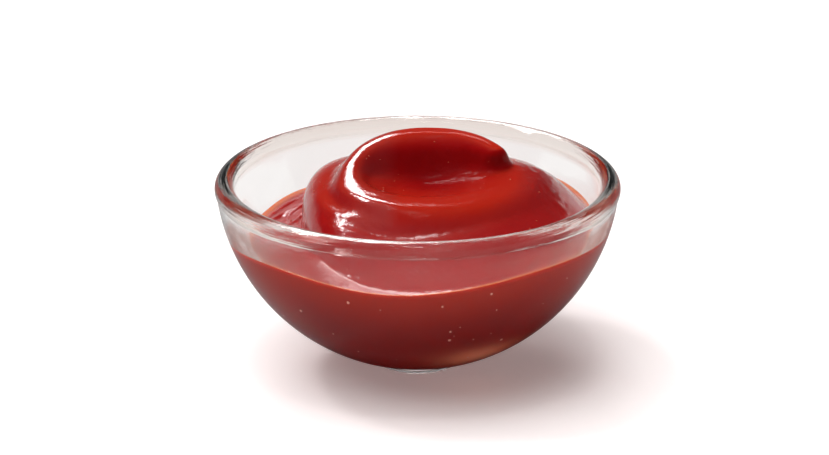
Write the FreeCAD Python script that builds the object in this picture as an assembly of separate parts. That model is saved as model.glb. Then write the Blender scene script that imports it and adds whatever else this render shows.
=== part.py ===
import FreeCAD, Part
from FreeCAD import Vector
from math import atan2, cos, exp, hypot, pi, radians, sin, sqrt, tan
import os

# A small round glass dipping bowl, filled with tomato ketchup that a spoon
# has drawn up into a swirl.  Millimetres, +Z up.  The origin is on the table,
# in the middle of the foot.  -Y is the front of the swirl, +X its right.
# Angles are in degrees from +X towards +Y.

# ---- glass bowl
rim_diameter = 60.0
bowl_height = 28.9
wall_thickness = 2.5      # just below the lip
lip_bead = 0.2            # how far the lip stands out from the wall
lip_roll = 0.26           # how far it stands into the bowl
neck_radius = 0.9         # fine hollow where the lip meets the wall
base_thickness = 2.8      # on the axis
underside_height = 0.4    # gap that the round bottom would leave without its foot
foot_diameter = 12.6
foot_blend = 0.5          # foot to bottom
foot_land = 2.0           # width of the ring that stands on the table
foot_edge = 0.25
recess_depth = 0.3

# ---- ketchup: how far its edge lies below the rim, in sixteen directions from +X
wall_drops = [6.9, 6.4, 6.1, 7.3, 8.6, 9.0, 8.7, 9.5, 9.0, 7.9, 7.5, 8.4, 8.7, 7.8, 6.9, 7.0]

# ---- mound in the middle, in eight directions from +X
mound_gaps = [0.8, 3.3, 7.5, 8.5, 10.1, 7.3, 1.5, 0.3]    # its foot to the mouth of the cup
mound_rises = [1.4, 1.6, 0.8, 1.0, 0.7, 0.0, -0.3, 0.0]  # its top over the rim
mound_fullness = [3.5, 3.5, 3.0, 4.4, 5.0, 3.2, 2.2, 2.4]
mound_steepness = [1.0, 1.2, 1.6, 3.4, 4.0, 2.0, 1.0, 1.0]
mound_foot_blend = 1.1
calm_radius = 12.0        # nearer the axis the directions matter less and less

# ---- swirl: an oval ridge that climbs from the front round the left to the back
swirl_centre = (1.9, -1.3)
swirl_reach = (11.1, 9.2)
swirl_tip = 37.0          # angle at which it ends, on the right
swirl_top = 100.0         # angle of its highest place
swirl_start = 380.0       # angle at which it leaves the mound
swirl_shelf = -0.4        # crest in front over the rim
swirl_rise = 4.95         # top above the shelf
swirl_fall_tip = 92.0     # angle over which it falls from the top to the tip
swirl_fall_round = 92.0   # the same the other way, round the left
swirl_spread_from = 300.0
swirl_spread = 4.2        # how far its start swings out from the oval
swirl_bulge = 1.3         # how far it swings out at the front left
swirl_bulge_at = 215.0
swirl_bulge_width = 40.0
crest_widths = [(swirl_tip, 2.1), (swirl_top, 3.4), (165.0, 2.1), (270.0, 6.0),
                (swirl_start, 6.0)]
crest_slope = 2.5         # slope that the flanks run out to
crest_fullness = 2.8      # 2 is the plainest curve over the crest, more is rounder
crest_blend = 0.66
crest_points = 160

# ---- hollow that the ridge curls round
hollow_centre = (2.4, 2.2)
hollow_reach = (9.8, 8.2)
hollow_edge = 1.0         # more makes its edge crisper
hollow_depth = 2.8
hollow_blend = 2.6

# ---- the tip leans out over the slope on its right
lean_centre = (12.0, 4.5)
lean_reach = 4.8
lean_shift = (0.7, -1.6)
lean_from = 0.2           # height over the rim at which it begins
lean_rise = 3.6

surface_poles = 49        # poles of the top surface each way
surface_degree = 3


def sphere_through(ring_radius, ring_height, bottom):
    """Radius and centre height of the sphere through a ring and a lowest point on the axis."""
    rise = ring_height - bottom
    radius = (ring_radius ** 2 + rise ** 2) / (2 * rise)
    return radius, bottom + radius


lip_radius = (wall_thickness + lip_bead + lip_roll) / 2    # the rim is fully round
lip_height = bowl_height - lip_radius
wall_radius = rim_diameter / 2 - lip_bead
wall_sphere = sphere_through(wall_radius, lip_height, underside_height)
mouth_radius = wall_radius - wall_thickness
cup_sphere = sphere_through(mouth_radius, lip_height,
                            underside_height + base_thickness)


def circles_meet(first, first_radius, second, second_radius):
    """Lower of the two points where two circles of the profile cross."""
    between = second - first
    along = (first_radius ** 2 - second_radius ** 2 + between.Length ** 2) / (2 * between.Length)
    across = sqrt(first_radius ** 2 - along ** 2)
    ahead = between / between.Length
    side = Vector(ahead.z, 0, -ahead.x)
    points = [first + ahead * along + side * across, first + ahead * along - side * across]
    return min(points, key=lambda point: point.z)


def towards(start, end, distance):
    """Point at a distance from start, on the line to end."""
    return start + (end - start) / (end - start).Length * distance


def arc(start, centre, end):
    """Arc of less than half a turn about a centre."""
    middle = towards(centre, (start + end) / 2, (start - centre).Length)
    return Part.Arc(start, middle, end).toShape()


def make_bowl():
    wall_centre = Vector(0, 0, wall_sphere[1])
    cup_centre = Vector(0, 0, cup_sphere[1])
    lip_centre = Vector(rim_diameter / 2 - lip_radius, 0, lip_height)

    # hollow lines under the lip, outside and inside
    outer_neck = circles_meet(wall_centre, wall_sphere[0] + neck_radius,
                              lip_centre, lip_radius + neck_radius)
    inner_neck = circles_meet(cup_centre, cup_sphere[0] - neck_radius,
                              lip_centre, lip_radius + neck_radius)
    lip_outside = towards(lip_centre, outer_neck, lip_radius)
    lip_inside = towards(lip_centre, inner_neck, lip_radius)
    wall_top = towards(wall_centre, outer_neck, wall_sphere[0])
    cup_top = towards(cup_centre, inner_neck, cup_sphere[0])

    # foot: blend to the wall, side, ring to stand on and recess
    foot_radius = foot_diameter / 2
    land_radius = foot_radius - foot_land
    blend_radius = foot_radius + foot_blend
    blend_drop = sqrt((wall_sphere[0] + foot_blend) ** 2 - blend_radius ** 2)
    blend_centre = Vector(blend_radius, 0, wall_sphere[1] - blend_drop)
    wall_end = towards(wall_centre, blend_centre, wall_sphere[0])
    side_top = Vector(foot_radius, 0, blend_centre.z)
    side_end = Vector(foot_radius, 0, foot_edge)
    land_start = Vector(foot_radius - foot_edge, 0, 0)
    land_end = Vector(land_radius + foot_edge, 0, 0)
    recess_start = Vector(land_radius, 0, foot_edge)
    recess_corner = Vector(land_radius, 0, recess_depth)
    recess_end = Vector(0, 0, recess_depth)
    cup_bottom = Vector(0, 0, cup_sphere[1] - cup_sphere[0])

    profile = Part.Wire([
        Part.Arc(lip_inside, Vector(lip_centre.x, 0, bowl_height), lip_outside).toShape(),
        arc(lip_outside, outer_neck, wall_top),
        arc(wall_top, wall_centre, wall_end),
        arc(wall_end, blend_centre, side_top),
        Part.makeLine(side_top, side_end),
        arc(side_end, Vector(foot_radius - foot_edge, 0, foot_edge), land_start),
        Part.makeLine(land_start, land_end),
        arc(land_end, Vector(land_radius + foot_edge, 0, foot_edge), recess_start),
        Part.makeLine(recess_start, recess_corner),
        Part.makeLine(recess_corner, recess_end),
        Part.makeLine(recess_end, cup_bottom),
        arc(cup_bottom, cup_centre, cup_top),
        arc(cup_top, inner_neck, lip_inside),
    ])
    return Part.Face(profile).revolve(Vector(0, 0, 0), Vector(0, 0, 1), 360)


def around(values, angle):
    """Smooth value at an angle, through values at equal steps from +X."""
    count = len(values)
    total = 0.0
    for index, value in enumerate(values):
        half = (angle - 2 * pi * index / count) / 2
        weight = 1.0
        if abs(sin(half)) > 1e-9:
            weight = sin(count * half) / (count * tan(half)) if abs(cos(half)) > 1e-9 else 0.0
        total += value * weight
    return total


def blended_max(first, second, softness):
    return (first + second + hypot(first - second, softness)) / 2


def step_between(table, place):
    """Value between the entries of a table, with a level start and end to each step."""
    for (low, low_value), (high, high_value) in zip(table, table[1:]):
        if place <= high:
            share = max(0.0, (place - low) / (high - low))
            return low_value + (high_value - low_value) * share * share * (3 - 2 * share)
    return table[-1][1]


def crest_line():
    """Points of the crest: x, y, height and half width."""
    points = []
    for index in range(crest_points):
        turn = swirl_tip + (swirl_start - swirl_tip) * index / (crest_points - 1)
        spread = max(0.0, (turn - swirl_spread_from) / (swirl_start - swirl_spread_from))
        swing = swirl_spread * spread ** 2
        swing += swirl_bulge * exp(-((turn - swirl_bulge_at) / swirl_bulge_width) ** 2)
        reach_x = swirl_reach[0] + swing
        reach_y = swirl_reach[1] + swing
        if turn < swirl_top:
            fall = exp(-((swirl_top - turn) / swirl_fall_tip) ** 4)
        else:
            fall = exp(-((turn - swirl_top) / swirl_fall_round) ** 2)
        points.append((swirl_centre[0] + reach_x * cos(radians(turn)),
                       swirl_centre[1] + reach_y * sin(radians(turn)),
                       bowl_height + swirl_shelf + swirl_rise * fall,
                       step_between(crest_widths, turn)))
    return points


def mean(values):
    return sum(values) / len(values)


def calmed(values, angle, share):
    """Value at an angle for a share of 1, the mean of all for a share of 0."""
    return mean(values) + (around(values, angle) - mean(values)) * share


def mound_height(x, y):
    angle = atan2(y, x)
    out = hypot(x, y)
    share = min(1.0, out / calm_radius)
    share = share * share * (3 - 2 * share)
    level = bowl_height - calmed(wall_drops, angle, share)
    top = bowl_height + calmed(mound_rises, angle, share)
    reach = mouth_radius - around(mound_gaps, angle)
    inside = max(0.0, 1 - (out / reach) ** around(mound_fullness, angle))
    rise = inside ** (1 / max(1.0, around(mound_steepness, angle)))
    floor = level - mound_foot_blend
    return blended_max(level, floor + (top - floor) * rise, mound_foot_blend)


def hollow_share(x, y):
    across = ((x - hollow_centre[0]) / hollow_reach[0]) ** 2
    along = ((y - hollow_centre[1]) / hollow_reach[1]) ** 2
    return exp(-(across + along) ** hollow_edge)


def ridge_height(x, y, crest):
    """Highest of the flanks that fall away from every point of the crest."""
    best = 0.0
    for crest_x, crest_y, height, width in crest:
        away = hypot(x - crest_x, y - crest_y) / width
        fall = (1 + away ** crest_fullness) ** (1 / crest_fullness) - 1
        best = max(best, height - crest_slope * width * fall)
    return best


def top_point(x, y, crest):
    """Point of the ketchup's top over a place in the bowl, leant out at the tip."""
    hollow = hollow_share(x, y)
    height = mound_height(x, y) - hollow_depth * hollow
    height = blended_max(height, ridge_height(x, y, crest), crest_blend + hollow_blend * hollow)
    lift = min(1.0, max(0.0, (height - bowl_height - lean_from) / lean_rise))
    away = hypot(x - lean_centre[0], y - lean_centre[1]) / lean_reach
    lean = lift * lift * (3 - 2 * lift) * exp(-away ** 2)
    return Vector(x + lean_shift[0] * lean, y + lean_shift[1] * lean, height)


def top_face():
    """Smooth face over the whole bowl, with one pole for each place of a square grid."""
    crest = crest_line()
    half = rim_diameter / 2
    places = [half * (2 * index / (surface_poles - 1) - 1) for index in range(surface_poles)]
    poles = [[top_point(x, y, crest) for y in places] for x in places]
    spans = surface_poles - surface_degree
    knots = [index / spans for index in range(spans + 1)]
    multiplicities = [surface_degree + 1] + [1] * (spans - 1) + [surface_degree + 1]
    surface = Part.BSplineSurface()
    surface.buildFromPolesMultsKnots(poles, multiplicities, multiplicities, knots, knots,
                                     False, False, surface_degree, surface_degree)
    return surface.toShape()


def block_under(face):
    """Solid between a face over the whole bowl and a level below the table."""
    floor = -bowl_height
    walls = []
    corners = []
    for edge in face.OuterWire.OrderedEdges:
        ends = [edge.valueAt(edge.FirstParameter), edge.valueAt(edge.LastParameter)]
        low = [Vector(end.x, end.y, floor) for end in ends]
        walls.append(Part.makeRuledSurface(edge, Part.makeLine(low[0], low[1])))
        corners.append(low)
    rim = Part.Wire(Part.__sortEdges__([Part.makeLine(low[0], low[1]) for low in corners]))
    shell = Part.makeShell([face, Part.Face(rim)] + walls)
    shell.sewShape()
    solid = Part.makeSolid(shell)
    if solid.Volume < 0:
        solid.reverse()
    return solid


def make_ketchup():
    cup = Part.makeSphere(cup_sphere[0], Vector(0, 0, cup_sphere[1]))
    return cup.common(block_under(top_face())).removeSplitter()


def export(shape, name):
    solids = shape.Solids
    if len(solids) != 1 or not solids[0].isValid():
        raise RuntimeError(name + " is not one sound solid")
    solids[0].exportStep(os.path.join("parts", name + ".step"))
    print(name, "volume", round(solids[0].Volume, 1), "mm3")


os.makedirs("parts", exist_ok=True)
export(make_bowl(), "bowl")
export(make_ketchup(), "ketchup")
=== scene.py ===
# A small glass dipping bowl, filled with ketchup that a spoon has drawn up into a swirl.
# Lengths are in millimetres up to the point where a mesh is made, angles in degrees.
import math
import random

import bpy
import numpy as np
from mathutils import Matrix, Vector, noise


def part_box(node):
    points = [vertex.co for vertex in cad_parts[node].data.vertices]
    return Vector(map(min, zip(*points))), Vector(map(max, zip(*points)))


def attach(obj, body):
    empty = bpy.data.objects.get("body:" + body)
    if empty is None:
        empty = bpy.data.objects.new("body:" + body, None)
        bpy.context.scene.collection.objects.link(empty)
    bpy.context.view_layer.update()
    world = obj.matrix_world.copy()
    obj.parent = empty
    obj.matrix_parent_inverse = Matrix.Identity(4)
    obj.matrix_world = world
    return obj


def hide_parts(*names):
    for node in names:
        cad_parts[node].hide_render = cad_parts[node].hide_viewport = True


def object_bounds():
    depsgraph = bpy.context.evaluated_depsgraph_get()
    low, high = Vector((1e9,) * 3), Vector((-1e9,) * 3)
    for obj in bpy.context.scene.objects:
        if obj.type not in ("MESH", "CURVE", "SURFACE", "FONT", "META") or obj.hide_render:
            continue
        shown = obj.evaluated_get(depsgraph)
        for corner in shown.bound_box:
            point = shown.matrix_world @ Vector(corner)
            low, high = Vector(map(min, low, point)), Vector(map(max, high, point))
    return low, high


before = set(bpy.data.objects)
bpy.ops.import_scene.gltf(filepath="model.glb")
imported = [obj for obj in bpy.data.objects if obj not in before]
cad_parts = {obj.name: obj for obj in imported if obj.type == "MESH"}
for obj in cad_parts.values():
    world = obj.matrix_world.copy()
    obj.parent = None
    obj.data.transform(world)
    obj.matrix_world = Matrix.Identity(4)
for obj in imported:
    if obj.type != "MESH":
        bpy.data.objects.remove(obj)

mm = 0.001
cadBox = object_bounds()
bowlLow, bowlHigh = [[side / mm for side in corner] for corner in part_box("bowl")]
rimRadius = (bowlHigh[0] - bowlLow[0]) / 2
bowlHeight = bowlHigh[2]
cadTop = cadBox[1][2] / mm
print("frame loaded: bowl", round(2 * rimRadius, 1), "mm across,", round(bowlHeight, 1), "mm high")


def meshFrom(name, points, faces, smooth=True):
    mesh = bpy.data.meshes.new(name)
    mesh.from_pydata((np.asarray(points) * mm).tolist(), [], faces)
    mesh.validate()
    mesh.update()
    if smooth:
        mesh.polygons.foreach_set("use_smooth", [True] * len(mesh.polygons))
    piece = bpy.data.objects.new(name, mesh)
    bpy.context.scene.collection.objects.link(piece)
    return piece


def closedRings(rings, count):
    # faces of a closed skin: a tip, rings of points one after another, and a second tip
    faces = [(0, 1 + i, 1 + (i + 1) % count) for i in range(count)]
    for ring in range(rings - 1):
        low = 1 + ring * count
        for i in range(count):
            j = (i + 1) % count
            faces.append((low + i, low + count + i, low + count + j, low + j))
    last = 1 + (rings - 1) * count
    return faces + [(last + i, last + count, last + (i + 1) % count) for i in range(count)]


def spotsOf(mesh):
    spots = np.empty(len(mesh.vertices) * 3)
    mesh.vertices.foreach_get("co", spots)
    return spots.reshape(-1, 3) / mm


def paint(mesh, name, values):
    # one value for each point, which a material reads by its name
    mesh.attributes.new(name, "FLOAT", "POINT").data.foreach_set("value", values)


def sphereThrough(ringRadius, ringHeight, bottom):
    # the sphere on the axis that runs through a ring and its own lowest point
    rise = ringHeight - bottom
    radius = (ringRadius ** 2 + rise ** 2) / (2 * rise)
    return radius, bottom + radius


def wavy(points, size, seed):
    # smooth noise between -1 and 1, one value for each point
    shift = Vector((seed * 7.3, seed * 3.1, seed * 5.7))
    return np.array([noise.noise(Vector(point) / size + shift) for point in points])


def smoothStep(value, low, high):
    share = np.clip((value - low) / (high - low), 0, 1)
    return share * share * (3 - 2 * share)


def dropOff(value, low, high):
    return 1 - smoothStep(value, low, high)


glassSizes = {
    "lipThickness": 2.96,
    "lipBead": 0.2,          # how far the lip stands out from the wall
    "neckRadius": 0.9,       # fine hollow where the lip meets the wall, outside
    "innerNeck": 3.0,        # the same inside
    "wallThickness": 2.5,
    "baseThickness": 2.8,
    "undersideHeight": 0.4,
    "footDiameter": 12.6,
    "footBlend": 0.5,
    "footLand": 2.0,
    "footEdge": 0.25,
    "recessDepth": 0.3,
    "recessDraft": 0.05,
    # mesh
    "segments": 300,
    "steps": {"lip": 40, "neck": 6, "wall": 56, "foot": 5, "cup": 60},
    "nearAxis": 0.0001,      # the cup's steps are counted from here, not from the axis itself
    # slow unevenness of the pressed glass
    "outerWave": 0.02,
    "innerWave": 0.05,
    "waveSize": 9.0,
    "fineWave": {"finer": 2.4, "share": 0.5},
    "stillFoot": (2.0, 6.0),     # heights where the waves start and are full
    "stillLip": (-1.0, 0.6),     # heights from the lip's middle where they fade and are gone
    "wallMargin": 0.4,           # how near the cup a point counts as the inside
    # the lip's streaks and painted reflection tint: heights from its middle where they start and are full
    "lipFade": (-1.6, -0.2),
    "lipShares": (0.02, 0.92),
}

lipRadius = glassSizes["lipThickness"] / 2
lipHeight = bowlHeight - lipRadius
wallRadius = rimRadius - glassSizes["lipBead"]
mouthRadius = wallRadius - glassSizes["wallThickness"]
wallBall, wallCentre = sphereThrough(wallRadius, lipHeight, glassSizes["undersideHeight"])
cupBall, cupCentre = sphereThrough(mouthRadius, lipHeight,
                                   glassSizes["undersideHeight"] + glassSizes["baseThickness"])


def circlesMeet(first, firstRadius, second, secondRadius):
    # the lower crossing of two circles of the profile
    gap = second - first
    along = (firstRadius ** 2 - secondRadius ** 2 + gap.length ** 2) / (2 * gap.length)
    across = math.sqrt(firstRadius ** 2 - along ** 2)
    ahead = gap.normalized()
    side = Vector((ahead.y, -ahead.x))
    crossings = [first + ahead * along + side * across, first + ahead * along - side * across]
    return min(crossings, key=lambda point: point.y)


def arcPoints(centre, start, end, steps):
    # points of an arc the short way round, without its last one
    a = math.atan2(start.y - centre.y, start.x - centre.x)
    b = math.atan2(end.y - centre.y, end.x - centre.x)
    if abs(b - a) > math.pi:
        b += 2 * math.pi if b < a else -2 * math.pi
    radius = (start - centre).length
    turns = [a + (b - a) * i / steps for i in range(steps)]
    return [centre + radius * Vector((math.cos(turn), math.sin(turn))) for turn in turns]


def lipPoints(middle, start, end, steps):
    # over the lip from the inside to the outside
    a = math.atan2(start.y - middle.y, start.x - middle.x) % (2 * math.pi)
    b = math.atan2(end.y - middle.y, end.x - middle.x)
    turns = [a + (b - a) * i / steps for i in range(steps)]
    return [middle + lipRadius * Vector((math.cos(turn), math.sin(turn))) for turn in turns]


def footPoints():
    # round the foot's two edges and into its recess
    g = glassSizes
    foot, edge, recess = g["footDiameter"] / 2, g["footEdge"], g["recessDepth"]
    land = foot - g["footLand"]
    steps = g["steps"]["foot"]
    points = arcPoints(Vector((foot - edge, edge)), Vector((foot, edge)), Vector((foot - edge, 0)), steps)
    points += [Vector((foot - edge, 0)), Vector(((foot + land) / 2, 0))]
    points += arcPoints(Vector((land + edge, edge)), Vector((land + edge, 0)), Vector((land, edge)), steps)
    points += [Vector((land, edge)), Vector((land - g["recessDraft"], recess))]
    return points + [Vector((land / 2, recess)), Vector((0, recess))]


def glassProfile():
    g = glassSizes
    steps = g["steps"]
    wallMid, cupMid = Vector((0, wallCentre)), Vector((0, cupCentre))
    lipMid = Vector((rimRadius - lipRadius, lipHeight))
    neck, inside = g["neckRadius"], g["innerNeck"]
    outerNeck = circlesMeet(wallMid, wallBall + neck, lipMid, lipRadius + neck)
    innerNeck = circlesMeet(cupMid, cupBall - inside, lipMid, lipRadius + inside)
    lipOut = lipMid + (outerNeck - lipMid).normalized() * lipRadius
    lipIn = lipMid + (innerNeck - lipMid).normalized() * lipRadius
    wallTop = wallMid + (outerNeck - wallMid).normalized() * wallBall
    cupTop = cupMid + (innerNeck - cupMid).normalized() * cupBall
    foot = g["footDiameter"] / 2
    blendRadius = foot + g["footBlend"]
    blendHeight = wallCentre - math.sqrt((wallBall + g["footBlend"]) ** 2 - blendRadius ** 2)
    blendMid = Vector((blendRadius, blendHeight))
    wallEnd = wallMid + (blendMid - wallMid).normalized() * wallBall
    points = lipPoints(lipMid, lipIn, lipOut, steps["lip"])
    points += arcPoints(outerNeck, lipOut, wallTop, steps["neck"])
    points += arcPoints(wallMid, wallTop, wallEnd, steps["wall"])
    points += arcPoints(blendMid, wallEnd, Vector((foot, blendHeight)), steps["neck"])
    points += footPoints()
    cup = arcPoints(cupMid, Vector((g["nearAxis"], cupCentre - cupBall)), cupTop, steps["cup"])
    points += [Vector((0, cupCentre - cupBall))] + cup[1:]
    points += arcPoints(innerNeck, cupTop, lipIn, steps["neck"])
    return points


def latheGlass():
    g = glassSizes
    count = g["segments"]
    points, faces, rings = [], [], []
    for spot in glassProfile():
        if spot.x < 1e-6:    # on the axis
            rings.append([len(points)])
            points.append((0, 0, spot.y))
            continue
        rings.append(list(range(len(points), len(points) + count)))
        for i in range(count):
            turn = 2 * math.pi * i / count
            points.append((spot.x * math.cos(turn), spot.x * math.sin(turn), spot.y))
    for near, far in zip(rings, rings[1:] + rings[:1]):
        for i in range(count):
            j = (i + 1) % count
            if len(near) == 1 and len(far) == 1:
                break
            if len(near) == 1:
                faces.append((near[0], far[i], far[j]))
            elif len(far) == 1:
                faces.append((near[j], near[i], far[0]))
            else:
                faces.append((near[i], far[i], far[j], near[j]))
    piece = meshFrom("glassBowl", points, faces)
    least, most = g["lipShares"]
    fromLip = np.array(points)[:, 2] - lipHeight
    paint(piece.data, "lip", least + (most - least) * smoothStep(fromLip, *g["lipFade"]))
    unevenGlass(piece.data)
    return piece


def unevenGlass(mesh):
    # slow waves in the pressed glass, none at the foot or the top of the lip
    g = glassSizes
    spots = spotsOf(mesh)
    out, height = np.hypot(spots[:, 0], spots[:, 1]), spots[:, 2]
    fromCup = np.hypot(out, height - cupCentre) - cupBall
    inner = (np.abs(fromCup) < g["wallMargin"]) & (height < lipHeight)
    fade = smoothStep(height, *g["stillFoot"]) * dropOff(height - lipHeight, *g["stillLip"])
    depth = np.where(inner, g["innerWave"], g["outerWave"]) * fade
    fine = g["fineWave"]
    waves = wavy(spots, g["waveSize"], 3) + fine["share"] * wavy(spots, g["waveSize"] / fine["finer"], 5)
    # the outer wall only goes inwards, so that it stays inside its own size
    shift = np.where(inner, waves * depth, -np.abs(waves) * depth)
    spots[:, :2] += (shift / np.maximum(out, 0.1))[:, None] * spots[:, :2]
    mesh.vertices.foreach_set("co", (spots * mm).ravel())
    mesh.update()


ketchupSizes = {
    # directions at equal steps from +X towards +Y: in sixteen, how far the edge lies below the
    # rim; in eight, how far the foot of the mound lies inside the mouth of the cup, its top over
    # the rim, how full its shoulder and how steep its side is
    "wallDrops": [6.9, 6.4, 6.1, 7.3, 8.6, 9.0, 8.7, 9.5, 9.0, 7.9, 7.5, 8.4, 8.7, 7.8, 6.9, 7.0],
    "moundGaps": [0.8, 3.3, 7.5, 8.5, 10.1, 7.3, 1.5, 0.3],
    "moundRises": [1.4, 1.6, 0.8, 1.0, 0.7, 0.0, -0.3, 0.0],
    "moundFullness": [3.5, 3.5, 3.0, 4.4, 5.0, 3.2, 2.2, 2.4],
    "moundSteepness": [1.0, 1.2, 1.6, 3.4, 4.0, 2.0, 1.0, 1.0],
    "moundFootBlend": 1.1,
    "calmRadius": 12.0,      # inside it the directions even out towards the axis
    # the oval ridge that climbs from the front round the left to the back
    "swirlCentre": (1.9, -1.3),
    "swirlReach": (11.1, 9.2),
    "swirlTip": 37.0,
    "swirlTop": 100.0,
    "swirlStart": 380.0,
    "swirlShelf": -0.4,
    "swirlRise": 4.95,
    "swirlFallTip": 92.0,
    "swirlFallRound": 92.0,
    "swirlSpreadFrom": 300.0,
    "swirlSpread": 4.2,
    "swirlBulge": 1.3,
    "swirlBulgeAt": 215.0,
    "swirlBulgeWidth": 40.0,
    "crestWidths": [(37.0, 2.1), (100.0, 3.4), (165.0, 2.1), (270.0, 6.0), (380.0, 6.0)],
    "crestSlope": 2.5,
    "crestFullness": 2.8,
    "crestBlend": 0.66,
    # the hollow that it curls round, and the tip that leans over the slope on its right
    "hollowCentre": (2.4, 2.2),
    "hollowReach": (9.8, 8.2),
    "hollowEdge": 1.0,
    "hollowDepth": 2.8,
    "hollowBlend": 2.6,
    "leanCentre": (12.0, 4.5),
    "leanReach": 4.8,
    "leanShift": (0.7, -1.6),
    "leanFrom": 0.2,
    "leanRise": 3.6,
    # mesh
    "crestPoints": 220,
    "intoWall": 0.12,        # how far the ketchup reaches into the glass
    "rings": 128,
    "segments": 450,
    "wallRows": 44,
    "contactRounds": 12,     # rounds in which the edge settles on the wall
}


def around(values, turn):
    # smooth value at an angle, through values at equal steps
    parts = np.fft.rfft(values) / len(values)
    total = np.full(np.shape(turn), parts[0].real)
    for k in range(1, len(parts)):
        share = parts[k] * (1 if 2 * k == len(values) else 2)
        total = total + share.real * np.cos(k * turn) - share.imag * np.sin(k * turn)
    return total


def calmed(values, turn, share):
    # the same, drawn towards the middle of the values
    return np.mean(values) + (around(values, turn) - np.mean(values)) * share


def blendedMax(first, second, softness):
    return (first + second + np.hypot(first - second, softness)) / 2


def crestLine():
    # points of the ridge's crest, each with its place and its width
    k = ketchupSizes
    turn = np.linspace(k["swirlTip"], k["swirlStart"], k["crestPoints"])
    spread = (turn - k["swirlSpreadFrom"]) / (k["swirlStart"] - k["swirlSpreadFrom"])
    swing = k["swirlSpread"] * np.maximum(0, spread) ** 2
    swing = swing + k["swirlBulge"] * np.exp(-((turn - k["swirlBulgeAt"]) / k["swirlBulgeWidth"]) ** 2)
    away = turn - k["swirlTop"]
    toTip = np.exp(-(away / k["swirlFallTip"]) ** 4)
    fall = np.where(away < 0, toTip, np.exp(-(away / k["swirlFallRound"]) ** 2))
    widths = np.zeros(len(turn))
    for (low, lowWidth), (high, highWidth) in zip(k["crestWidths"], k["crestWidths"][1:]):
        inside = (turn >= low) & (turn <= high)
        widths = np.where(inside, lowWidth + (highWidth - lowWidth) * smoothStep(turn, low, high), widths)
    x = k["swirlCentre"][0] + (k["swirlReach"][0] + swing) * np.cos(np.radians(turn))
    y = k["swirlCentre"][1] + (k["swirlReach"][1] + swing) * np.sin(np.radians(turn))
    return np.stack([x, y, bowlHeight + k["swirlShelf"] + k["swirlRise"] * fall, widths], axis=1)


def moundHeight(x, y):
    k = ketchupSizes
    turn, out = np.arctan2(y, x), np.hypot(x, y)
    share = smoothStep(out, 0, k["calmRadius"])
    level = bowlHeight - calmed(k["wallDrops"], turn, share)
    top = bowlHeight + calmed(k["moundRises"], turn, share)
    reach = mouthRadius - around(k["moundGaps"], turn)
    inside = np.maximum(0, 1 - (out / reach) ** around(k["moundFullness"], turn))
    rise = inside ** (1 / np.maximum(1, around(k["moundSteepness"], turn)))
    floor = level - k["moundFootBlend"]
    return blendedMax(level, floor + (top - floor) * rise, k["moundFootBlend"])


def hollowShare(x, y):
    k = ketchupSizes
    across = ((x - k["hollowCentre"][0]) / k["hollowReach"][0]) ** 2
    along = ((y - k["hollowCentre"][1]) / k["hollowReach"][1]) ** 2
    return np.exp(-(across + along) ** k["hollowEdge"])


def topPoint(x, y, crest):
    # place on the top of the ketchup: mound, hollow and ridge, and the lean of the tip
    k = ketchupSizes
    hollow = hollowShare(x, y)
    height = moundHeight(x, y) - k["hollowDepth"] * hollow
    ridge = np.zeros(np.shape(x))
    for crestX, crestY, crestHeight, width in crest:
        away = np.hypot(x - crestX, y - crestY) / width
        fall = (1 + away ** k["crestFullness"]) ** (1 / k["crestFullness"]) - 1
        ridge = np.maximum(ridge, crestHeight - k["crestSlope"] * width * fall)
    height = blendedMax(height, ridge, k["crestBlend"] + k["hollowBlend"] * hollow)
    lift = smoothStep(height - bowlHeight, k["leanFrom"], k["leanFrom"] + k["leanRise"])
    away = np.hypot(x - k["leanCentre"][0], y - k["leanCentre"][1]) / k["leanReach"]
    lean = lift * np.exp(-away ** 2)
    return x + k["leanShift"][0] * lean, y + k["leanShift"][1] * lean, height


def wallReach(height):
    # radius of the ketchup's outside at a height
    ball = cupBall + ketchupSizes["intoWall"]
    return np.sqrt(np.maximum(ball ** 2 - (height - cupCentre) ** 2, 0))


def contactLine(turn, crest):
    # where the top meets the glass: radius and height for each angle
    radius = wallReach(bowlHeight - around(ketchupSizes["wallDrops"], turn))
    for i in range(ketchupSizes["contactRounds"]):
        height = topPoint(radius * np.cos(turn), radius * np.sin(turn), crest)[2]
        radius = wallReach(height)
    return radius, height


def makeKetchup(crest):
    k = ketchupSizes
    count = k["segments"]
    turn = np.linspace(0, 2 * math.pi, count, endpoint=False)
    edgeRadius, edgeHeight = contactLine(turn, crest)
    share = (np.arange(1, k["rings"] + 1) / k["rings"])[:, None]
    top = topPoint(share * edgeRadius * np.cos(turn), share * edgeRadius * np.sin(turn), crest)
    top = np.stack(top, axis=2)
    top[-1, :, 2] = edgeHeight
    fineRelief(top)
    middle = np.array(topPoint(np.zeros(1), np.zeros(1), crest)).reshape(1, 3)
    # down the wall, from the contact line to the bottom
    ball = cupBall + k["intoWall"]
    edgeAngle = np.arctan2(edgeRadius, cupCentre - edgeHeight)
    wall = []
    for row in range(1, k["wallRows"]):
        angle = edgeAngle * (1 - row / k["wallRows"])
        wall.append(np.stack([ball * np.sin(angle) * np.cos(turn), ball * np.sin(angle) * np.sin(turn),
                              cupCentre - ball * np.cos(angle)], axis=1))
    bottom = np.array([[0, 0, cupCentre - ball]])
    points = np.concatenate([middle, top.reshape(-1, 3), *wall, bottom])
    faces = closedRings(k["rings"] + k["wallRows"] - 1, count)
    piece = meshFrom("ketchupSwirl", points, faces)
    # the wall's faces take the second material
    topFaces = count * k["rings"]
    slots = [0] * topFaces + [1] * (len(faces) - topFaces)
    piece.data.polygons.foreach_set("material_index", slots)
    paintKetchup(piece.data, turn, edgeHeight)
    return piece


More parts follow.
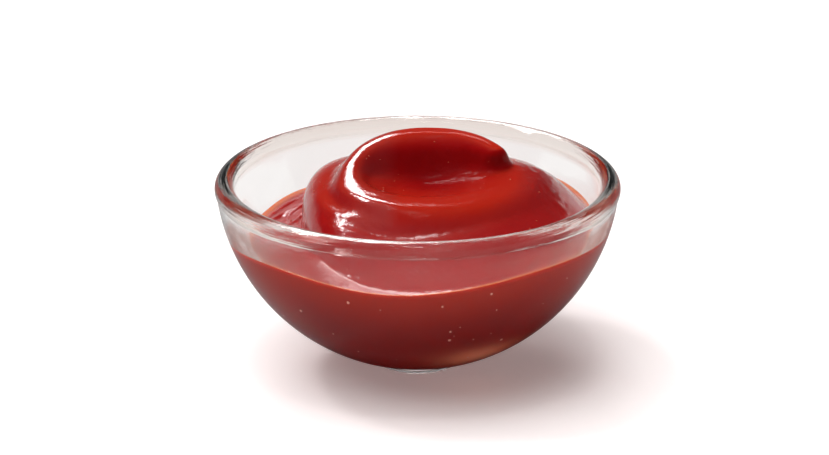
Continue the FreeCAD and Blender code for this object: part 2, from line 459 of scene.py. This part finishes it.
reliefSizes = {
    # patches of wrinkles: azimuth and its half breadth, distance from the axis and its half
    # breadth, depth, length along the wall and breadth of one wrinkle
    "wrinkles": [
        {"azimuth": 158, "spread": 48, "out": 21.5, "wide": 5.0, "depth": 0.34, "size": (7.0, 1.5)},
        {"azimuth": 2, "spread": 26, "out": 19.5, "wide": 4.2, "depth": 0.16, "size": (5.0, 1.7)},
        {"azimuth": 230, "spread": 32, "out": 19.0, "wide": 4.0, "depth": 0.12, "size": (8.0, 2.2)},
        {"azimuth": 60, "spread": 50, "out": 21.0, "wide": 4.0, "depth": 0.15, "size": (7.0, 1.8)},
    ],
    "finer": (2.5, 2.2),     # a second set of wrinkles: how much shorter and narrower it is
    "fineShare": 0.4,
    "level": 0.6,            # the part of a wrinkle's height that lies at the surface
    "spotRadius": 20,        # distance from the axis at which a wrinkle's length is true
    # folds that run round the swirl at the front left: distance outside its crest, height, breadth
    "folds": [(3.4, 0.20, 0.9), (6.0, 0.22, 0.8)],
    "foldWander": 0.5,
    "wanderSize": 4.0,
    "foldFrom": (178, 200),  # angles where the folds start and are full
    "foldTo": (238, 268),
    # a seam behind the ridge at the left
    "seamFrom": (118, 133),
    "seamTo": (167, 182),
    "seamOut": 3.0,
    "seamHeight": 0.16,
    "seamWidth": 0.35,
    "waves": [(6.0, 0.10), (2.2, 0.03)],    # size and depth
    "stillEdge": (23.5, 25.0),    # distances where all of it fades and is gone
    "underTop": 0.01,
}


def streaks(x, y, along, across, seed):
    # sharp-topped noise between 0 and 1, drawn out round the axis
    turn, out = np.arctan2(y, x), np.hypot(x, y)
    length = reliefSizes["spotRadius"] / along
    spots = np.stack([np.cos(turn) * length, np.sin(turn) * length, out / across], axis=-1)
    shape = spots.shape[:-1]
    return (1 - np.abs(wavy(spots.reshape(-1, 3), 1.0, seed))).reshape(shape) ** 2


def turnShare(x, y, azimuth, spread):
    away = (np.degrees(np.arctan2(y, x)) - azimuth + 180) % 360 - 180
    return dropOff(np.abs(away), spread * 0.5, spread)


def wrinkleLift(x, y):
    r = reliefSizes
    out = np.hypot(x, y)
    lift = np.zeros(x.shape)
    for index, patch in enumerate(r["wrinkles"]):
        share = turnShare(x, y, patch["azimuth"], patch["spread"])
        share = share * dropOff(np.abs(out - patch["out"]), patch["wide"] * 0.5, patch["wide"])
        along, across = patch["size"]
        lines = streaks(x, y, along, across, 11 + index)
        fine = streaks(x, y, along / r["finer"][0], across / r["finer"][1], 21 + index)
        lift += share * patch["depth"] * (lines - r["level"] + r["fineShare"] * (fine - r["level"]))
    return lift


def foldLift(x, y, flat):
    # folds and the seam follow the oval of the swirl
    r, k = reliefSizes, ketchupSizes
    reachX, reachY = k["swirlReach"]
    right, ahead = (x - k["swirlCentre"][0]) / reachX, (y - k["swirlCentre"][1]) / reachY
    beyond = (np.hypot(right, ahead) - 1) * (reachX + reachY) / 2
    turn = np.degrees(np.arctan2(ahead, right)) % 360
    uneven = wavy(flat, r["wanderSize"], 31).reshape(x.shape)
    lift = np.zeros(x.shape)
    share = smoothStep(turn, *r["foldFrom"]) * dropOff(turn, *r["foldTo"])
    for distance, height, breadth in r["folds"]:
        across = (beyond - distance - r["foldWander"] * uneven) / breadth
        lift += share * height * np.exp(-across ** 2)
    share = smoothStep(turn, *r["seamFrom"]) * dropOff(turn, *r["seamTo"])
    return lift + share * r["seamHeight"] * np.exp(-((beyond - r["seamOut"]) / r["seamWidth"]) ** 2)


def fineRelief(top):
    r = reliefSizes
    x, y = top[:, :, 0], top[:, :, 1]
    flat = np.stack([x, y, 0 * x], axis=-1).reshape(-1, 3)
    lift = wrinkleLift(x, y) + foldLift(x, y, flat)
    for size, depth in r["waves"]:
        lift += depth * wavy(flat, size, 41 + size).reshape(x.shape)
    # nothing moves at the glass or rises over the CAD top, so the crest is cut level there
    lift *= dropOff(np.hypot(x, y), *r["stillEdge"])
    top[:, :, 2] = np.minimum(top[:, :, 2] + lift, cadTop - r["underTop"])


# where the ketchup looks lighter, darker or duller, painted on its points; pairs are the
# places where a change starts and is full
ketchupTones = {
    "thinBreadth": (0.6, 1.8),    # amber edge on top, in front and behind
    "thinBehind": (-10, 0),
    "thinDepth": 0.45,            # how fast it ends down the wall
    "thinFull": 0.1,              # how near the wall it is full
    # painted light: paler against the glass under the edge and darker further down, and paler at the two
    # sides, a painted whitish reflection of the glass
    "paleLightDepth": 4.5,
    "paleLightSides": {"aside": (9, 20), "depth": 9.0, "share": 0.8},
    # painted glow: a lighter amber painted low on the right, where the base of the glass gathers light
    "glow": {"azimuth": 304, "spread": 20, "height": 7.7, "tall": 1.9, "share": 0.95,
             "underEdge": 2, "fromWall": 0.3},
    # painted light: places that face up are painted lighter and more orange than steep ones, less so near
    # the glass
    "litFacingFrom": (0.55, 0.9),
    "litNearGlass": {"out": (14, 19), "share": 0.9},
    "hollowShade": 0.45,
    "hollowTop": (2.2, 3.6),      # over the rim
    # the wet shine is dulled on top at the right, low behind the front wall, and on the left flank
    "topDull": {"right": (-5.5, -2.5), "out": (14.5, 17.0)},
    "frontDull": {"ahead": (-14, -8), "height": (-6.0, -4.5), "share": 0.8},
    "flankDull": {"right": (-13.5, -11), "out": (18, 19.5), "share": 0.6},
}


def paintKetchup(mesh, turn, edgeHeight):
    t = ketchupTones
    spots = spotsOf(mesh)
    x, y, z = spots.T
    out, reach = np.hypot(x, y), wallReach(z)
    own = np.arctan2(y, x) % (2 * math.pi)
    edge = np.interp(own, np.append(turn, 2 * math.pi), np.append(edgeHeight, edgeHeight[0]))
    depth = np.maximum(edge - z, 0)

    front, behind = t["thinBreadth"]
    breadth = front + (behind - front) * smoothStep(y, *t["thinBehind"])
    atWall = smoothStep(out, reach - breadth, reach - t["thinFull"])
    paint(mesh, "thinness", atWall * np.exp(-depth / t["thinDepth"]))

    sides = t["paleLightSides"]
    atSides = sides["share"] * smoothStep(np.abs(x), *sides["aside"])
    atSides = atSides * np.exp(-(depth / sides["depth"]) ** 2)
    paint(mesh, "paleLight", np.maximum(np.exp(-(depth / t["paleLightDepth"]) ** 2), atSides))

    glow = t["glow"]
    apart = (np.degrees(own) - glow["azimuth"] + 180) % 360 - 180
    gathered = np.exp(-(apart / glow["spread"]) ** 2 - ((z - glow["height"]) / glow["tall"]) ** 2)
    onWall = (z < edge - glow["underEdge"]) & (out > reach - glow["fromWall"])
    paint(mesh, "glow", glow["share"] * gathered * onWall)

    facing = np.empty(len(mesh.vertices) * 3)
    mesh.vertex_normals.foreach_get("vector", facing)
    hollow = hollowShare(x, y) * dropOff(z - bowlHeight, *t["hollowTop"])
    nearGlass = t["litNearGlass"]["share"] * smoothStep(out, *t["litNearGlass"]["out"])
    # painted light on places that face up, and painted shade in the hollow
    paint(mesh, "level", smoothStep(facing[2::3], *t["litFacingFrom"]) * (1 - hollow) * (1 - nearGlass))
    paint(mesh, "shade", hollow * t["hollowShade"])

    onTop = smoothStep(x, *t["topDull"]["right"]) * dropOff(out, *t["topDull"]["out"])
    dull = t["frontDull"]
    inFront = dull["share"] * dropOff(z - bowlHeight, *dull["height"]) * dropOff(y, *dull["ahead"])
    dull = t["flankDull"]
    onFlank = dull["share"] * dropOff(x, *dull["right"]) * dropOff(out, *dull["out"])
    paint(mesh, "dull", np.maximum.reduce([onTop, inFront, onFlank]))


filmSizes = {
    # thin smear that the sauce leaves on the glass above its edge
    "azimuths": (176, 364),
    "fade": 26,
    "thinAt": 268,           # it is thinnest in front
    "thinSpread": 50,
    "thinBy": 0.9,
    "hazeUpTo": (0.55, 1),   # shares of its height where it starts to thin out and is gone
    "over": 5.4,             # how far it reaches over the edge of the ketchup
    "under": 0.1,            # and below it
    "least": 0.05,
    "unevenShare": 0.25,
    "unevenSize": 5.0,
    "spotRadius": 25,        # distance from the axis at which that size is true
    "belowLip": 1.2,
    "intoWall": 0.1,         # it wets the glass, so no air lies behind it
    "thick": 0.04,
    "columns": 260,
    "rows": 16,
}


def filmFaces(columns, rows):
    # two sheets of points, outer and inner, closed along all four edges
    faces = []
    inner = rows * columns
    for row in range(rows - 1):
        for i in range(columns - 1):
            low = row * columns + i
            faces.append((low, low + 1, low + columns + 1, low + columns))
            low += inner
            faces.append((low, low + columns, low + columns + 1, low + 1))
    for i in range(columns - 1):
        faces.append((i, inner + i, inner + i + 1, i + 1))
        high = (rows - 1) * columns + i
        faces.append((high, high + 1, inner + high + 1, inner + high))
    for row in range(rows - 1):
        left, right = row * columns, row * columns + columns - 1
        faces.append((left, left + columns, inner + left + columns, inner + left))
        faces.append((right, inner + right, inner + right + columns, right + columns))
    return faces


def makeFilm(crest):
    f = filmSizes
    columns, rows = f["columns"], f["rows"] + 1
    first, last = f["azimuths"]
    degrees = np.linspace(first, last, columns)
    turn = np.radians(degrees)
    height = contactLine(turn, crest)[1]
    ends = smoothStep(degrees, first, first + f["fade"]) * dropOff(degrees, last - f["fade"], last)
    ring = np.stack([f["spotRadius"] * np.cos(turn), f["spotRadius"] * np.sin(turn), 0 * turn], axis=1)
    uneven = 1 + f["unevenShare"] * wavy(ring, f["unevenSize"], 51)
    reach = np.minimum(f["over"] * uneven * ends + f["least"], lipHeight - f["belowLip"] - height)
    sheets = []
    for inset in (0.0, f["thick"]):
        for row in range(rows):
            z = height - f["under"] + (reach + f["under"]) * row / (rows - 1)
            radius = np.sqrt(cupBall ** 2 - (z - cupCentre) ** 2) + f["intoWall"] - inset
            sheets.append(np.stack([radius * np.cos(turn), radius * np.sin(turn), z], axis=1))
    piece = meshFrom("sauceFilm", np.concatenate(sheets), filmFaces(columns, rows))
    # thickest at the two sides, and it thins out towards its upper edge and its ends
    front = np.exp(-((degrees - f["thinAt"]) / f["thinSpread"]) ** 4)
    upper = dropOff(np.arange(rows) / (rows - 1), *f["hazeUpTo"])
    haze = np.outer(upper, ends * (1 - f["thinBy"] * front)).ravel()
    paint(piece.data, "haze", np.tile(haze, 2))
    return piece


def ballMesh(centre, radii, rings, turns):
    points = [centre + np.array([0, 0, radii[2]])]
    for ring in range(1, rings):
        tilt = math.pi * ring / rings
        for i in range(turns):
            turn = 2 * math.pi * i / turns
            points.append(centre + np.array([radii[0] * math.sin(tilt) * math.cos(turn),
                                             radii[1] * math.sin(tilt) * math.sin(turn),
                                             radii[2] * math.cos(tilt)]))
    points.append(centre - np.array([0, 0, radii[2]]))
    return points, closedRings(rings - 1, turns)


def scatterBalls(name, spots, rings, turns):
    points, faces = [], []
    for centre, radii in spots:
        more, sides = ballMesh(centre, radii, rings, turns)
        faces += [tuple(len(points) + corner for corner in side) for side in sides]
        points += more
    return meshFrom(name, points, faces)


def pickRadius(pick, radii, power):
    # more small ones than large ones
    return radii[0] + (radii[1] - radii[0]) * pick.random() ** power


bubbleSizes = {
    "count": 34,
    "seed": 7,
    "radii": (0.10, 0.30),
    "power": 3,
    "flatness": 0.8,
    "azimuths": (190, 350),
    "heights": (7.0, 20.0),
    "fromWall": 0.02,
    "rings": 8,
    "turns": 12,
    "colour": (0.80, 0.33, 0.25),
    "roughness": 0.4,
}


def makeBubbles():
    # air caught where the ketchup lies against the glass
    b = bubbleSizes
    pick = random.Random(b["seed"])
    spots = []
    for i in range(b["count"]):
        turn = math.radians(pick.uniform(*b["azimuths"]))
        z = pick.uniform(*b["heights"])
        radius = pickRadius(pick, b["radii"], b["power"])
        out = wallReach(z) - b["fromWall"]
        flat = radius * b["flatness"]
        spots.append((np.array([out * math.cos(turn), out * math.sin(turn), z]), (flat, flat, radius)))
    return scatterBalls("airBubbles", spots, b["rings"], b["turns"])


speckSizes = {
    "count": 60,
    "seed": 19,
    "radii": (0.05, 0.14),
    "power": 2,
    "stretch": (0.8, 1.5),
    "flatness": 0.8,
    "reach": 22.0,
    "underTop": 0.3,
    "rings": 6,
    "turns": 8,
    "colour": (0.55, 0.07, 0.02),
    "roughness": 0.3,
}


def makeSpecks(crest):
    # bits of pulp and spice in the top of the ketchup
    s = speckSizes
    pick = random.Random(s["seed"])
    spots = []
    for i in range(s["count"]):
        turn, out = pick.uniform(0, 2 * math.pi), s["reach"] * math.sqrt(pick.random())
        x, y, z = topPoint(np.array([out * math.cos(turn)]), np.array([out * math.sin(turn)]), crest)
        radius = pickRadius(pick, s["radii"], s["power"])
        radii = (radius * pick.uniform(*s["stretch"]), radius * pick.uniform(*s["stretch"]),
                 radius * s["flatness"])
        spots.append((np.array([x[0], y[0], min(z[0], cadTop - s["underTop"])]), radii))
    return scatterBalls("pulpSpecks", spots, s["rings"], s["turns"])


def newMaterial(name, values):
    # a material whose shader takes these values
    material = bpy.data.materials.new(name)
    material.use_nodes = True
    tree = material.node_tree
    shader = tree.nodes["Principled BSDF"]
    for socket, value in values.items():
        shader.inputs[socket].default_value = value
    return material, tree, shader


def feed(tree, socket, value):
    # a socket takes what another one gives, or a fixed value
    if isinstance(value, bpy.types.NodeSocket):
        tree.links.new(value, socket)
    else:
        socket.default_value = value


def painted(tree, name):
    # what was painted on the points under this name
    reader = tree.nodes.new("ShaderNodeAttribute")
    reader.attribute_name = name
    return reader.outputs["Fac"]


def colourMix(tree, share, first, second):
    mix = tree.nodes.new("ShaderNodeMix")
    mix.data_type = "RGBA"
    tree.links.new(share, mix.inputs["Factor"])
    for socket, colour in (("A", first), ("B", second)):
        fixed = not isinstance(colour, bpy.types.NodeSocket)
        feed(tree, mix.inputs[socket], (*colour, 1) if fixed else colour)
    return mix.outputs["Result"]


def shaderMix(tree, share, first, second):
    mix = tree.nodes.new("ShaderNodeMixShader")
    for index, source in enumerate((share, first, second)):
        tree.links.new(source, mix.inputs[index])
    return mix.outputs[0]


def mathOf(tree, operation, first, second, clamp=False):
    node = tree.nodes.new("ShaderNodeMath")
    node.operation = operation
    node.use_clamp = clamp
    feed(tree, node.inputs[0], first)
    feed(tree, node.inputs[1], second)
    return node.outputs[0]


def rangeOf(tree, value, numbers, smooth=False):
    # numbers: where the value starts and ends, and what it becomes there
    spread = tree.nodes.new("ShaderNodeMapRange")
    if smooth:
        spread.interpolation_type = "SMOOTHSTEP"
    for socket, number in zip(("From Min", "From Max", "To Min", "To Max"), numbers):
        spread.inputs[socket].default_value = number
    tree.links.new(value, spread.inputs["Value"])
    return spread.outputs["Result"]


def joined(tree, *values):
    vector = tree.nodes.new("ShaderNodeCombineXYZ")
    for index, value in enumerate(values):
        tree.links.new(value, vector.inputs[index])
    return vector.outputs[0]


def ownSpots(tree):
    return tree.nodes.new("ShaderNodeTexCoord").outputs["Object"]


def noiseOf(tree, spots, look):
    grain = tree.nodes.new("ShaderNodeTexNoise")
    grain.inputs["Scale"].default_value = look["scale"]
    grain.inputs["Detail"].default_value = look["detail"]
    tree.links.new(spots, grain.inputs["Vector"])
    return grain.outputs["Fac"]


def addBump(tree, shader, height, strength, distance):
    bump = tree.nodes.new("ShaderNodeBump")
    bump.inputs["Distance"].default_value = distance
    feed(tree, bump.inputs["Strength"], strength)
    tree.links.new(height, bump.inputs["Height"])
    tree.links.new(bump.outputs["Normal"], shader.inputs["Normal"])


glassLook = {
    "surface": {"Transmission Weight": 1.0, "Roughness": 0.0, "IOR": 1.5},
    "wallTint": (0.985, 0.975, 0.965),
    "lipReflectionTint": (0.88, 0.80, 0.75),       # painted brownish tint, standing in for the ketchup and dark room that the lip refracts
    "streaks": {"scale": 2600, "detail": 3, "drawnOut": 0.0016, "height": 0.00012},
    "shadowTint": (0.94, 0.92, 0.92),
}


def glassFinish():
    g = glassLook
    material, tree, shader = newMaterial("clearGlass", g["surface"])
    # fine streaks that run round the lip
    parts = tree.nodes.new("ShaderNodeSeparateXYZ")
    tree.links.new(ownSpots(tree), parts.inputs[0])
    x, y, z = parts.outputs
    out = tree.nodes.new("ShaderNodeVectorMath")
    out.operation = "LENGTH"
    tree.links.new(joined(tree, x, y), out.inputs[0])
    slow = mathOf(tree, "MULTIPLY", mathOf(tree, "ARCTAN2", y, x), g["streaks"]["drawnOut"])
    streak = noiseOf(tree, joined(tree, out.outputs["Value"], z, slow), g["streaks"])
    lip = painted(tree, "lip")
    addBump(tree, shader, streak, lip, g["streaks"]["height"])
    # the lip is painted brownish, a stand-in for what it refracts
    tree.links.new(colourMix(tree, lip, g["wallTint"], g["lipReflectionTint"]), shader.inputs["Base Color"])
    # lamps shine through the glass, so that it casts only a light shadow
    clear = tree.nodes.new("ShaderNodeBsdfTransparent")
    clear.inputs["Color"].default_value = (*g["shadowTint"], 1)
    path = tree.nodes.new("ShaderNodeLightPath")
    mixed = shaderMix(tree, path.outputs["Is Shadow Ray"], shader.outputs[0], clear.outputs[0])
    tree.links.new(mixed, tree.nodes["Material Output"].inputs["Surface"])
    return material


filmLook = {
    "surface": {"Base Color": (0.66, 0.36, 0.30, 1), "Roughness": 0.6, "Specular IOR Level": 0.0},
    "mottle": {"scale": 420, "detail": 5},
    "cover": (0.3, 0.75, 0.16, 0.46),    # the mottle's range, and how much the haze then covers
}


def filmFinish():
    # a haze of sauce, mottled, that the light mostly passes
    f = filmLook
    material, tree, shader = newMaterial("sauceHaze", f["surface"])
    mottle = rangeOf(tree, noiseOf(tree, ownSpots(tree), f["mottle"]), f["cover"])
    cover = mathOf(tree, "MULTIPLY", mottle, painted(tree, "haze"))
    clear = tree.nodes.new("ShaderNodeBsdfTransparent")
    mixed = shaderMix(tree, cover, clear.outputs[0], shader.outputs[0])
    tree.links.new(mixed, tree.nodes["Material Output"].inputs["Surface"])
    return material


def plainFinish(name, look):
    values = {"Base Color": (*look["colour"], 1), "Roughness": look["roughness"]}
    return newMaterial(name, values)[0]


ketchupLook = {
    "mottle": {"scale": 240, "detail": 4, "share": 0.14},
    "top": {
        "surface": {"Roughness": 0.15, "IOR": 1.45, "Subsurface Weight": 0.4,
                    "Subsurface Radius": (1.0, 0.10, 0.05), "Subsurface Scale": 0.0018},
        "deep": (0.34, 0.004, 0.005),
        "thin": (0.58, 0.14, 0.03),
        # painted light where the top faces up
        "level": (0.44, 0.018, 0.008),
        "shade": (0.10, 0.001, 0.002),
        "shine": (1.0, 0.04),    # wet, and where it is dulled
        "grain": {"scale": 900, "detail": 5, "strength": 0.2, "height": 0.0004},
    },
    # wetted to the glass, so it has no shine of its own
    "atGlass": {
        "surface": {"Roughness": 0.9, "Specular IOR Level": 0.0, "Subsurface Weight": 0.4,
                    "Subsurface Radius": (1.0, 0.12, 0.06), "Subsurface Scale": 0.002},
        "deep": (0.27, 0.006, 0.005),
        "thin": (0.58, 0.12, 0.06),
        # painted light: the paler colour under the edge and at the sides
        "paleLight": (0.47, 0.030, 0.016),
        "glow": (1.0, 0.30, 0.17),
    },
}


def ketchupColour(tree, look, layers):
    # deep red, mottled a little, that turns amber where the sauce is thin; the other layers, painted
    # light, shade and glow, lie over it where they are painted
    mottle = ketchupLook["mottle"]
    less = [channel * (1 - mottle["share"]) for channel in look["deep"]]
    more = [channel * (1 + mottle["share"]) for channel in look["deep"]]
    colour = colourMix(tree, noiseOf(tree, ownSpots(tree), mottle), less, more)
    colour = colourMix(tree, painted(tree, "thinness"), colour, look["thin"])
    for layer in layers:
        colour = colourMix(tree, painted(tree, layer), colour, look[layer])
    return colour


def ketchupFinish():
    look = ketchupLook["top"]
    material, tree, shader = newMaterial("ketchupWet", look["surface"])
    tree.links.new(ketchupColour(tree, look, ("level", "shade")), shader.inputs["Base Color"])
    shine = rangeOf(tree, painted(tree, "dull"), (0, 1, *look["shine"]))
    tree.links.new(shine, shader.inputs["Specular IOR Level"])
    grain = look["grain"]
    fine = noiseOf(tree, ownSpots(tree), grain)
    addBump(tree, shader, fine, grain["strength"], grain["height"])
    return material


def ketchupBehindGlass():
    look = ketchupLook["atGlass"]
    material, tree, shader = newMaterial("ketchupAtGlass", look["surface"])
    tree.links.new(ketchupColour(tree, look, ("paleLight", "glow")), shader.inputs["Base Color"])
    return material


stageSizes = {
    "floorHalf": 1500.0,
    # faintly rosy, which clips to white where lit and paints red light from the ketchup into the shadow
    "floorTone": (0.97, 0.935, 0.93),
    "floorLift": (0.20, 0.175, 0.170),    # keeps the floor pale and its shadow light to the eye; its rose tint is painted red light from the ketchup in the shadow
    "floorSurface": {"Roughness": 0.9, "Specular IOR Level": 0.0},
    # sine of the elevation where it starts and ends to fade, brightness below and above;
    # the even light fades away from its own middle instead
    "litSky": (0.75, 0.98, 0.08, 3.0),
    "litFrom": (200, 75),    # azimuth and elevation of the middle of the even light
    "shineSky": (0.10, 0.36, 0.38, 0.06),
    "shinePatch": {"azimuth": 98, "elevation": 45, "reach": (10.5, 6.5), "strength": 14.0},
    "glassSky": (0.05, 0.5, 0.93, 0.6),
    "plainSky": (0, 1, 1, 1),    # what the camera itself sees
    "shineFloor": 0.3,       # how bright the floor is in the shine of wet things
    "throughGlass": (0.4, 0.5),    # through glass: how much of its tone shows, and how much it glows
}

# direction as azimuth from +X and elevation, distance, breadth, and the level
# at which the lamp alone lights a white thing that faces it
lamps = {
    "backLamp": {"azimuth": 104, "elevation": 47, "distance": 1100, "size": (400, 240), "level": 0.16},
    "sideLamp": {"azimuth": 152, "elevation": 57, "distance": 1100, "size": (150, 120), "level": 0.20},
    "topLamp": {"azimuth": 250, "elevation": 84, "distance": 1100, "size": (200, 110), "level": 0.08},
}

viewSizes = {
    "elevation": 20.3,
    "distance": 600.0,
    "lens": 175.0,
    "sensor": 36,
    "aimRight": -0.46,
    "aimUp": 6.03,
}


def makeFloor():
    s = stageSizes
    half = s["floorHalf"]
    corners = [(-half, -half, 0), (half, -half, 0), (half, half, 0), (-half, half, 0)]
    floor = meshFrom("floor", corners, [(0, 1, 2, 3)], smooth=False)
    material, tree, shader = newMaterial("paleFloor", s["floorSurface"])
    path = tree.nodes.new("ShaderNodeLightPath")
    refracted = path.outputs["Is Transmission Ray"]
    share, glow = s["throughGlass"]
    white = s["floorTone"]
    tone = colourMix(tree, refracted, white, [channel * share for channel in white])
    # a refracted ray counts as a glossy one too, so it is taken off
    shine = mathOf(tree, "SUBTRACT", path.outputs["Is Glossy Ray"], refracted, clamp=True)
    tone = colourMix(tree, shine, tone, [channel * s["shineFloor"] for channel in white])
    lift = colourMix(tree, refracted, s["floorLift"], [glow] * 3)
    seen = mathOf(tree, "MAXIMUM", refracted, path.outputs["Is Camera Ray"])
    for socket, value in (("Base Color", tone), ("Emission Color", lift), ("Emission Strength", seen)):
        tree.links.new(value, shader.inputs[socket])
    floor.data.materials.append(material)


def pointAt(azimuth, elevation):
    turn, tilt = math.radians(azimuth), math.radians(elevation)
    return Vector((math.cos(turn) * math.cos(tilt), math.sin(turn) * math.cos(tilt), math.sin(tilt)))


def softLamp(name, azimuth, elevation, distance, size, level):
    lamp = bpy.data.lights.new(name, "AREA")
    lamp.shape = "RECTANGLE"
    lamp.size = size[0] * mm
    lamp.size_y = size[1] * mm
    lamp.energy = level * (math.pi * distance * mm) ** 2
    toLamp = pointAt(azimuth, elevation)
    body = bpy.data.objects.new(name, lamp)
    body.location = (Vector((0, 0, bowlHeight)) + toLamp * distance) * mm
    body.rotation_euler = (-toLamp).to_track_quat("-Z", "Y").to_euler()
    bpy.context.scene.collection.objects.link(body)


def towards(tree, ray, direction):
    # cosine of the angle between a ray and a direction
    both = tree.nodes.new("ShaderNodeVectorMath")
    both.operation = "DOT_PRODUCT"
    both.inputs[1].default_value = direction
    tree.links.new(ray, both.inputs[0])
    return both.outputs["Value"]


def addPatch(tree, ray, bright):
    # a soft round light that only wet and polished things show
    patch = stageSizes["shinePatch"]
    near = towards(tree, ray, pointAt(patch["azimuth"], patch["elevation"]))
    outer, inner = [math.cos(math.radians(reach)) for reach in patch["reach"]]
    edge = rangeOf(tree, near, (outer, inner, 0, patch["strength"]), smooth=True)
    return mathOf(tree, "ADD", bright, edge)


def makeSky():
    # even light for matt things; shine sees a low bright band, and clear glass a pale room
    s = stageSizes
    world = bpy.data.worlds.new("studio")
    bpy.context.scene.world = world
    world.use_nodes = True
    tree = world.node_tree
    ray = tree.nodes.new("ShaderNodeTexCoord").outputs["Generated"]
    path = tree.nodes.new("ShaderNodeLightPath")
    mixed = None
    for kind, numbers in ((None, s["litSky"]), ("Is Glossy Ray", s["shineSky"]),
                          ("Is Transmission Ray", s["glassSky"]), ("Is Camera Ray", s["plainSky"])):
        height = towards(tree, ray, (0, 0, 1) if kind else pointAt(*s["litFrom"]))
        bright = rangeOf(tree, height, numbers, smooth=True)
        if kind == "Is Glossy Ray":
            bright = addPatch(tree, ray, bright)
        sky = tree.nodes.new("ShaderNodeBackground")
        sky.inputs["Color"].default_value = (1, 1, 1, 1)
        tree.links.new(bright, sky.inputs["Strength"])
        if kind is None:
            mixed = sky.outputs[0]
        else:
            mixed = shaderMix(tree, path.outputs[kind], mixed, sky.outputs[0])
    tree.links.new(mixed, tree.nodes["World Output"].inputs["Surface"])
    tree.nodes.remove(tree.nodes["Background"])


def makeCamera():
    v = viewSizes
    tilt = math.radians(v["elevation"])
    upward = Vector((0, math.sin(tilt), math.cos(tilt)))
    middle = Vector((0, 0, bowlHeight / 2))
    place = middle + Vector((0, -math.cos(tilt), math.sin(tilt))) * v["distance"]
    aim = middle + Vector((v["aimRight"], 0, 0)) + upward * v["aimUp"]
    lens = bpy.data.cameras.new("camera")
    lens.lens = v["lens"]
    lens.sensor_width = v["sensor"]
    body = bpy.data.objects.new("camera", lens)
    body.location = place * mm
    body.rotation_euler = (aim - place).to_track_quat("-Z", "Y").to_euler()
    bpy.context.scene.collection.objects.link(body)
    bpy.context.scene.camera = body


makeCamera()
makeFloor()
for lampName, lampFacts in lamps.items():
    softLamp(lampName, **lampFacts)
makeSky()
bpy.context.scene.view_settings.view_transform = "Standard"
print("stage, lamps and camera ready")

bowl = latheGlass()
bowl.data.materials.append(glassFinish())
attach(bowl, "root")
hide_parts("bowl")
print("glass bowl made:", len(bowl.data.polygons), "faces")

crest = crestLine()
ketchup = makeKetchup(crest)
ketchup.data.materials.append(ketchupFinish())
ketchup.data.materials.append(ketchupBehindGlass())
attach(ketchup, "root")
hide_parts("ketchup")
print("ketchup made:", len(ketchup.data.polygons), "faces")

film = makeFilm(crest)
film.data.materials.append(filmFinish())
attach(film, "root")
bubbles = makeBubbles()
bubbles.data.materials.append(plainFinish("bubbleSkin", bubbleSizes))
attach(bubbles, "root")
specks = makeSpecks(crest)
specks.data.materials.append(plainFinish("pulp", speckSizes))
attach(specks, "root")
print("film, bubbles and specks made")
